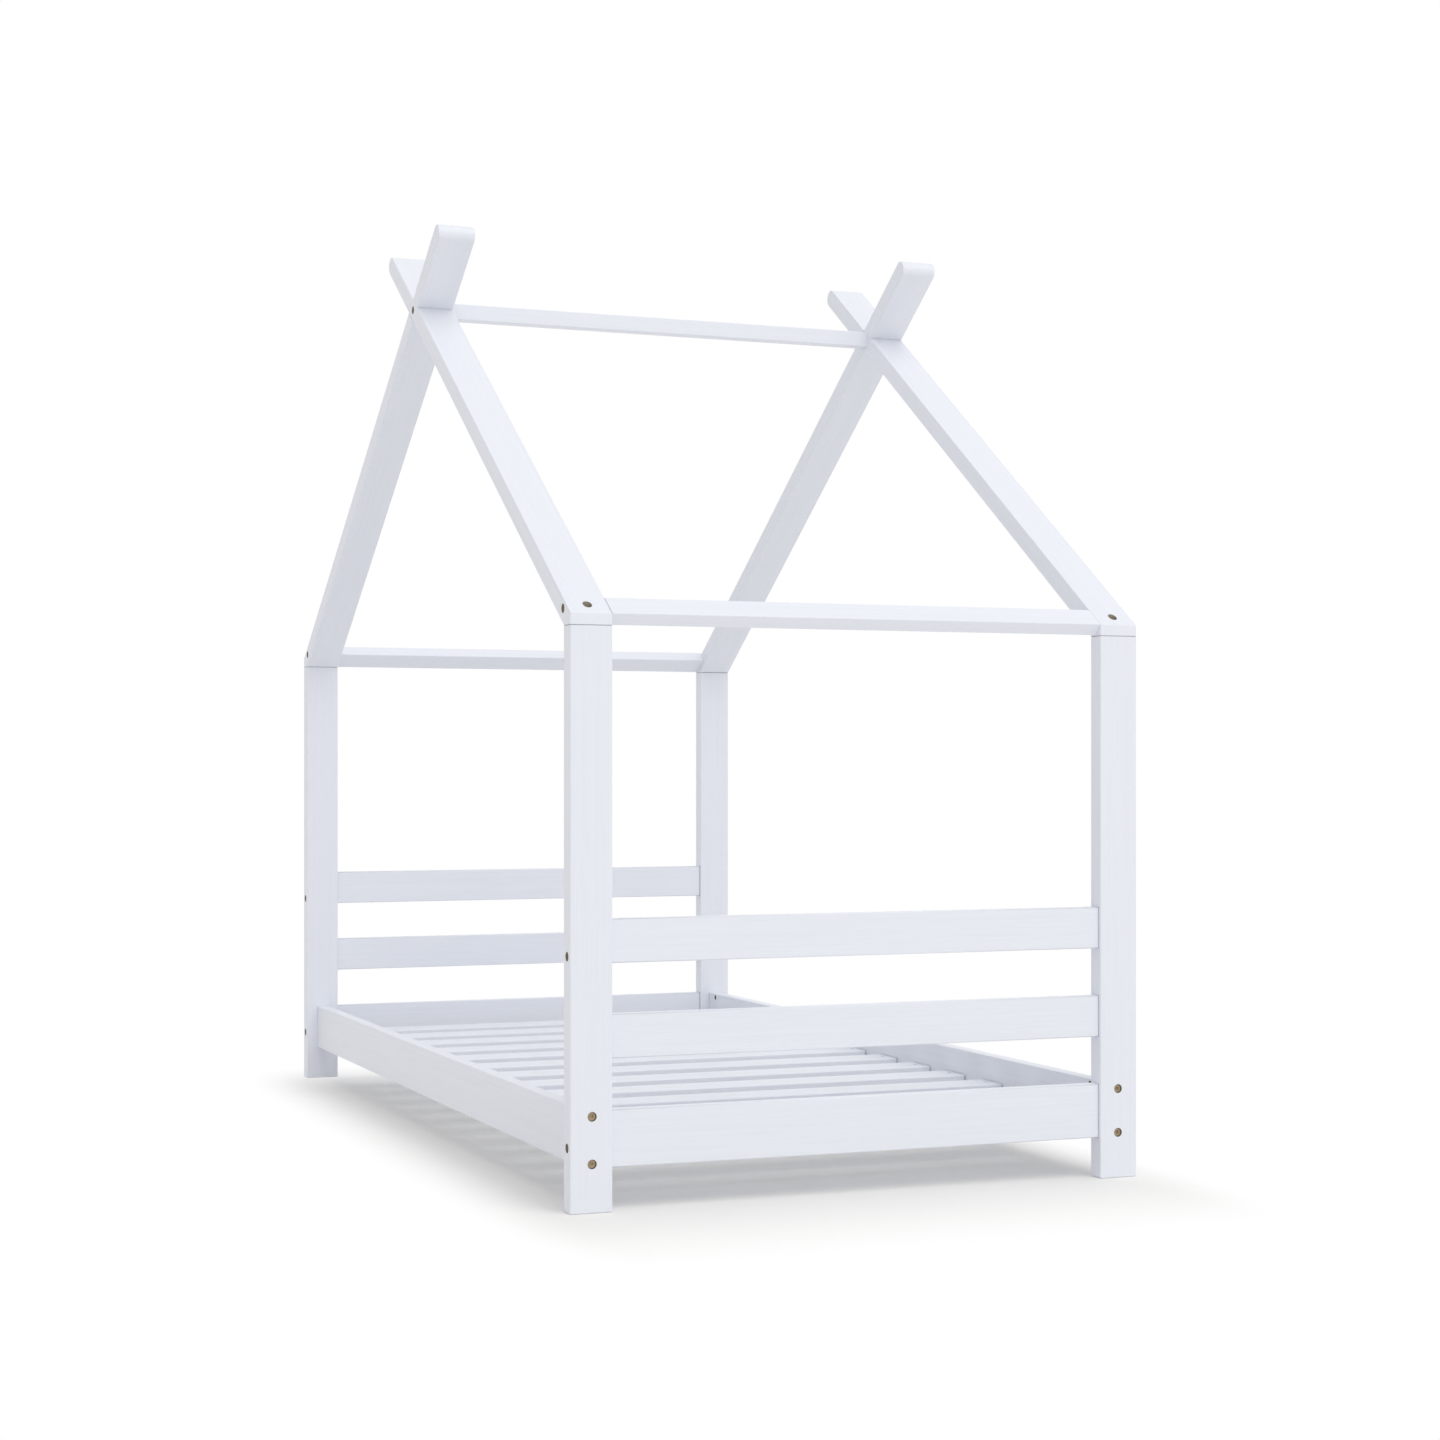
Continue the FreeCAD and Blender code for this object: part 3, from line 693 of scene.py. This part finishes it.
def screw_shape(screw, settings):
    """Countersunk screw with a tapered cross recess and a pointed end."""
    shank_radius = 2 * MM
    point = 4 * MM
    head = 2 * MM
    rim = 0.25 * MM
    rim_edge = 0.1 * MM
    land = 0.4 * MM
    half_arm = 0.6 * MM
    half_deep_arm = 0.45 * MM
    taper = 0.55
    recess = 1.8 * MM
    recess_tip = 2.2 * MM
    bm = bmesh.new()
    lathe(
        bm,
        [
            (0, screw.length),
            (shank_radius, screw.length - point),
            (shank_radius, head),
            (screw.radius, rim),
            (screw.radius, rim_edge),
            (screw.radius - rim_edge, 0),
            (settings.cross_reach + land, 0),
        ],
        SCREW_STEPS,
    )
    ring = [edge for edge in bm.edges if edge.is_boundary]
    ring = next_ring(bm, ring, cross(settings.cross_reach, half_arm), 0)
    ring = next_ring(bm, ring, cross(settings.cross_reach * taper, half_deep_arm), recess)
    close_ring(bm, ring, recess_tip)
    return bm


def dowel_shape(dowel, settings):
    """Fluted dowel with chamfered ends."""
    chamfer = 1 * MM
    bm = bmesh.new()
    lathe(
        bm,
        [
            (0, 0),
            (dowel.radius - chamfer, 0),
            (dowel.radius, chamfer),
            (dowel.radius, dowel.length - chamfer),
            (dowel.radius - chamfer, dowel.length),
            (0, dowel.length),
        ],
        DOWEL_STEPS,
    )
    for vert in bm.verts:
        step = round(math.atan2(vert.co.y, vert.co.x) / (2 * math.pi) * DOWEL_STEPS)
        if step % 2 and vert.co.xy.length > dowel.radius - MERGE:
            vert.co.xy *= 1 - settings.flute / dowel.radius
    return bm


def add_piece(mesh, node):
    """Puts a finished mesh into the scene, as the piece that stands for a node of the frame."""
    piece = bpy.data.objects.new(mesh.name, mesh)
    bpy.context.scene.collection.objects.link(piece)
    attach(piece, BODY)
    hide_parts(node)


def make_set(name, node, shape, material, settings):
    """Makes the piece for all the fasteners of a node, each turned differently about its own axis."""
    whole = bmesh.new()
    for number, fastener in enumerate(fasteners(node)):
        one = shape(fastener, settings)
        bmesh.ops.recalc_face_normals(one, faces=one.faces)
        spin = Matrix.Rotation(number * GOLDEN_ANGLE, 4, "Z")
        turn = Z.rotation_difference(fastener.way).to_matrix().to_4x4()
        one.transform(Matrix.Translation(fastener.face) @ turn @ spin)
        mesh = bpy.data.meshes.new("one fastener")
        one.to_mesh(mesh)
        one.free()
        whole.from_mesh(mesh)
        bpy.data.meshes.remove(mesh)
    mesh = bpy.data.meshes.new(name)
    whole.to_mesh(mesh)
    whole.free()
    mesh.shade_smooth()
    mesh.set_sharp_from_angle(angle=SHARP_ANGLE)
    mesh.materials.append(material)
    add_piece(mesh, node)


# Operators


class PaintBoards(bpy.types.Operator):
    """Give every board its painted finish, with the grain along its length"""

    bl_idname = "house_bed.paint_boards"
    bl_label = "Painted boards"

    def execute(self, context):
        settings = context.scene.house_bed_paint
        mask_group = drilled_mask(settings)
        post_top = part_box("foot_left_post")[1].z
        ridge = sum(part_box("ridge_bar"), Vector()) / 2
        pitch = math.atan2(ridge.z - post_top, cad_bounds[1].y)
        quarter = math.pi / 2
        upright, lengthwise, crosswise = (0, quarter, 0), (0, 0, -quarter), (0, 0, 0)
        # For each kind of board, the turn that lays the pattern along its grain, and where its strip of
        # painted shade lies, if anywhere
        kinds = {
            "post": (upright, (Z, post_top, settings.painted_shade_width)),
            "foot rafter": ((-pitch, 0, -quarter), (Z, post_top, settings.painted_shade_width)),
            "head rafter": ((pitch, 0, -quarter), (Z, post_top, settings.painted_shade_width)),
            "side rail": (lengthwise, (Y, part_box("left_side_rail")[1].y, settings.painted_shade_width)),
            "end rail": (crosswise, (X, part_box("foot_bottom_rail")[1].x, settings.rail_painted_shade_width)),
            "bar": (crosswise, (X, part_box("ridge_bar")[1].x, settings.bar_painted_shade_width)),
            "ledger": (lengthwise, None),
            "slat": (crosswise, None),
        }
        paints = {
            kind: painted_pine(f"painted pine {kind}", turn, seam, settings, mask_group)
            for kind, (turn, seam) in kinds.items()
        }
        for node in BOARD_NODES:
            give(node, paints[self.kind_of(node)])
        return {"FINISHED"}

    @staticmethod
    def kind_of(node):
        """Kind of board that a node is."""
        first, *_, last = node.split("_")
        if first == "slat":
            return "slat"
        if last == "rafter":
            return f"{first} rafter"
        if last == "rail":
            return "end rail" if node in END_RAIL_NODES else "side rail"
        return last


class SetBackEndRails(bpy.types.Operator):
    """Model the end rails as boards that lie back from the faces of the posts, with their holes kept"""

    bl_idname = "house_bed.end_rails"
    bl_label = "End rails"

    def execute(self, context):
        settings = context.scene.house_bed_rails
        for node in END_RAIL_NODES:
            end = node.split("_")[0]
            post_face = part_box(f"{end}_left_post")[0].y
            low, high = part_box(node)
            middle = (low.y + high.y) / 2
            move = post_face + settings.setback - low.y
            bm = bmesh.new()
            bm.from_mesh(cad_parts[node].data)
            bmesh.ops.remove_doubles(bm, verts=bm.verts, dist=MERGE)
            for side in (-1, 1):
                cut = middle + side * settings.core / 2
                everything = bm.verts[:] + bm.edges[:] + bm.faces[:]
                bmesh.ops.bisect_plane(bm, geom=everything, plane_co=Y * cut, plane_no=Y, dist=MERGE)
                outer = [vert for vert in bm.verts if (vert.co.y - cut) * side > MERGE]
                bmesh.ops.translate(bm, verts=outer, vec=Y * (-side * move))
            mesh = bpy.data.meshes.new(f"planed_{node}")
            bm.to_mesh(mesh)
            bm.free()
            # The normals that came with the copy belong to the thicker rail
            mesh.attributes.remove(mesh.attributes["custom_normal"])
            mesh.materials.append(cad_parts[node].active_material)
            add_piece(mesh, node)
        return {"FINISHED"}


class MakeBolts(bpy.types.Operator):
    """Model the socket-head bolts"""

    bl_idname = "house_bed.bolts"
    bl_label = "Bolts"

    def execute(self, context):
        settings = context.scene.house_bed_hardware
        material = plated_steel("bronzed steel", settings.bronze, BOLT_ROUGHNESS)
        for node in BOLT_NODES:
            make_set(f"socket_{node}", node, bolt_shape, material, settings)
        return {"FINISHED"}


class MakeScrews(bpy.types.Operator):
    """Model the countersunk screws"""

    bl_idname = "house_bed.screws"
    bl_label = "Screws"

    def execute(self, context):
        settings = context.scene.house_bed_hardware
        material = plated_steel("zinc-plated screw steel", settings.zinc, SCREW_ROUGHNESS)
        for node in SCREW_NODES:
            make_set(f"countersunk_{node}", node, screw_shape, material, settings)
        return {"FINISHED"}


class MakeDowels(bpy.types.Operator):
    """Model the fluted dowels"""

    bl_idname = "house_bed.dowels"
    bl_label = "Dowels"

    def execute(self, context):
        settings = context.scene.house_bed_hardware
        material = bare_beech("bare beech", settings.beech)
        for node in DOWEL_NODES:
            make_set(f"fluted_{node}", node, dowel_shape, material, settings)
        return {"FINISHED"}


class PlateNuts(bpy.types.Operator):
    """Give the nuts and inserts their plated finish"""

    bl_idname = "house_bed.nuts"
    bl_label = "Nuts"

    def execute(self, context):
        settings = context.scene.house_bed_hardware
        material = plated_steel("zinc-plated nut steel", settings.zinc, NUT_ROUGHNESS)
        for node in NUT_NODES:
            give(node, material)
        return {"FINISHED"}


class SetStudio(bpy.types.Operator):
    """Set the floor, the light and the camera"""

    bl_idname = "house_bed.studio"
    bl_label = "Studio"

    def execute(self, context):
        settings = context.scene.house_bed_studio
        context.scene.view_settings.view_transform = "Standard"
        self.make_floor(context, settings)
        self.make_dome(context, settings)
        self.make_key(context, settings)
        self.make_camera(context, settings)
        return {"FINISHED"}

    @staticmethod
    def shown_ray(tree):
        """1 where the camera sees a surface directly, mirrored or through glass."""
        path = add_node(tree, "ShaderNodeLightPath").outputs
        seen = add_node(
            tree, "ShaderNodeMath", {"operation": "MAXIMUM"},
            {0: path["Is Camera Ray"], 1: path["Is Glossy Ray"]},
        ).outputs[0]
        return add_node(
            tree, "ShaderNodeMath", {"operation": "MAXIMUM"}, {0: seen, 1: path["Is Transmission Ray"]}
        ).outputs[0]

    def make_floor(self, context, settings):
        """Pale floor that keeps the bed's shadow and turns white away from the bed."""
        material, tree, output = new_material("pale floor")
        shown = self.shown_ray(tree)
        near = add_node(
            tree, "ShaderNodeBsdfDiffuse", None, {"Color": with_alpha(settings.floor_colour)}
        ).outputs[0]
        # The floor keeps its shade within a box that is drawn in on the right and at the head end
        shift = Vector((*settings.shade_inset, 0)) / 2
        half_size = Vector((cad_bounds[1].x, cad_bounds[1].y, 0)) - shift
        place = add_node(tree, "ShaderNodeTexCoord").outputs["Object"]
        centred = add_node(
            tree, "ShaderNodeVectorMath", {"operation": "ADD"}, {0: place, 1: shift}
        ).outputs[0]
        mirrored = add_node(tree, "ShaderNodeVectorMath", {"operation": "ABSOLUTE"}, {0: centred}).outputs[0]
        past = add_node(tree, "ShaderNodeVectorMath", {"operation": "SUBTRACT"}, {0: mirrored, 1: half_size})
        outside = add_node(
            tree, "ShaderNodeVectorMath", {"operation": "MAXIMUM"}, {0: past.outputs[0], 1: (0, 0, 0)}
        )
        shares = add_node(
            tree, "ShaderNodeVectorMath", {"operation": "DIVIDE"},
            {0: outside.outputs[0], 1: (*settings.fade, 1)},
        )
        distance = add_node(tree, "ShaderNodeVectorMath", {"operation": "LENGTH"}, {0: shares.outputs[0]})
        faded = add_node(
            tree, "ShaderNodeMapRange", {"interpolation_type": "SMOOTHSTEP"},
            {"Value": distance.outputs["Value"]},
        ).outputs[0]
        share = add_node(tree, "ShaderNodeMath", {"operation": "MULTIPLY"}, {0: faded, 1: shown}).outputs[0]
        white = add_node(tree, "ShaderNodeEmission", None, {"Strength": 1.0}).outputs[0]
        floor_shader = add_node(tree, "ShaderNodeMixShader", None, {0: share, 1: near, 2: white}).outputs[0]
        tree.links.new(floor_shader, output.inputs["Surface"])
        bm = bmesh.new()
        bmesh.ops.create_grid(bm, x_segments=1, y_segments=1, size=settings.floor_width / 2)
        bmesh.ops.translate(bm, verts=bm.verts, vec=Z * -settings.floor_gap)
        mesh = bpy.data.meshes.new("floor")
        bm.to_mesh(mesh)
        bm.free()
        mesh.materials.append(material)
        floor = bpy.data.objects.new("floor", mesh)
        context.scene.collection.objects.link(floor)

    def make_dome(self, context, settings):
        """Soft light from all around, a little stronger from the right, and plain white to the eye."""
        world = bpy.data.worlds.new("white dome")
        world.use_nodes = True
        tree = world.node_tree
        tree.nodes.clear()
        direction = add_node(tree, "ShaderNodeTexCoord").outputs["Generated"]
        sideways = add_node(tree, "ShaderNodeSeparateXYZ", None, {0: direction}).outputs["X"]
        light = add_node(
            tree, "ShaderNodeMapRange", None,
            {"Value": sideways, "From Min": -1.0, "To Min": settings.dome[0], "To Max": settings.dome[1]},
        ).outputs[0]
        strength = add_node(
            tree, "ShaderNodeMapRange", None, {"Value": self.shown_ray(tree), "To Min": light, "To Max": 1.0}
        ).outputs[0]
        sky = add_node(tree, "ShaderNodeBackground", None, {"Color": (1, 1, 1, 1), "Strength": strength})
        output = add_node(tree, "ShaderNodeOutputWorld")
        tree.links.new(sky.outputs[0], output.inputs["Surface"])
        context.scene.world = world

    def make_key(self, context, settings):
        """Large soft lamp far before the foot end, above eye height."""
        lamp = bpy.data.lights.new("key", "AREA")
        lamp.shape = "DISK"
        lamp.size = settings.key_width
        lamp.energy = settings.key_power
        key = bpy.data.objects.new("key", lamp)
        aim = (cad_bounds[0] + cad_bounds[1]) / 2 - settings.key_place
        key.location = settings.key_place
        key.rotation_euler = aim.to_track_quat("-Z", "Y").to_euler()
        context.scene.collection.objects.link(key)

    def make_camera(self, context, settings):
        """Level camera before the foot end."""
        data = bpy.data.cameras.new("camera")
        data.sensor_width = SENSOR_WIDTH
        data.lens = settings.lens
        data.shift_x, data.shift_y = settings.shift
        camera = bpy.data.objects.new("camera", data)
        camera.location = settings.camera_place
        camera.rotation_euler = (math.pi / 2, 0, settings.camera_heading)
        context.scene.collection.objects.link(camera)
        context.scene.camera = camera


class HouseBedPanel(bpy.types.Panel):
    """Lists the bed's pieces and settings"""

    bl_idname = "VIEW3D_PT_house_bed"
    bl_label = "House bed"
    bl_space_type = "VIEW_3D"
    bl_region_type = "UI"
    bl_category = "House bed"

    def draw(self, context):
        for name, group in SETTINGS.items():
            settings = getattr(context.scene, name)
            for prop in group.__annotations__:
                self.layout.prop(settings, prop)
        for operator in OPERATORS:
            self.layout.operator(operator.bl_idname)


OPERATORS = (PaintBoards, SetBackEndRails, MakeBolts, MakeScrews, MakeDowels, PlateNuts, SetStudio)
CLASSES = (*SETTINGS.values(), *OPERATORS, HouseBedPanel)


def register():
    for cls in CLASSES:
        bpy.utils.register_class(cls)
    for name, group in SETTINGS.items():
        setattr(bpy.types.Scene, name, bpy.props.PointerProperty(type=group))


def unregister():
    for name in SETTINGS:
        delattr(bpy.types.Scene, name)
    for cls in reversed(CLASSES):
        bpy.utils.unregister_class(cls)


def main():
    """Registers the classes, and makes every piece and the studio."""
    register()
    bpy.ops.house_bed.paint_boards()
    bpy.ops.house_bed.end_rails()
    bpy.ops.house_bed.bolts()
    bpy.ops.house_bed.screws()
    bpy.ops.house_bed.dowels()
    bpy.ops.house_bed.nuts()
    bpy.ops.house_bed.studio()


if __name__ == "__main__":
    main()
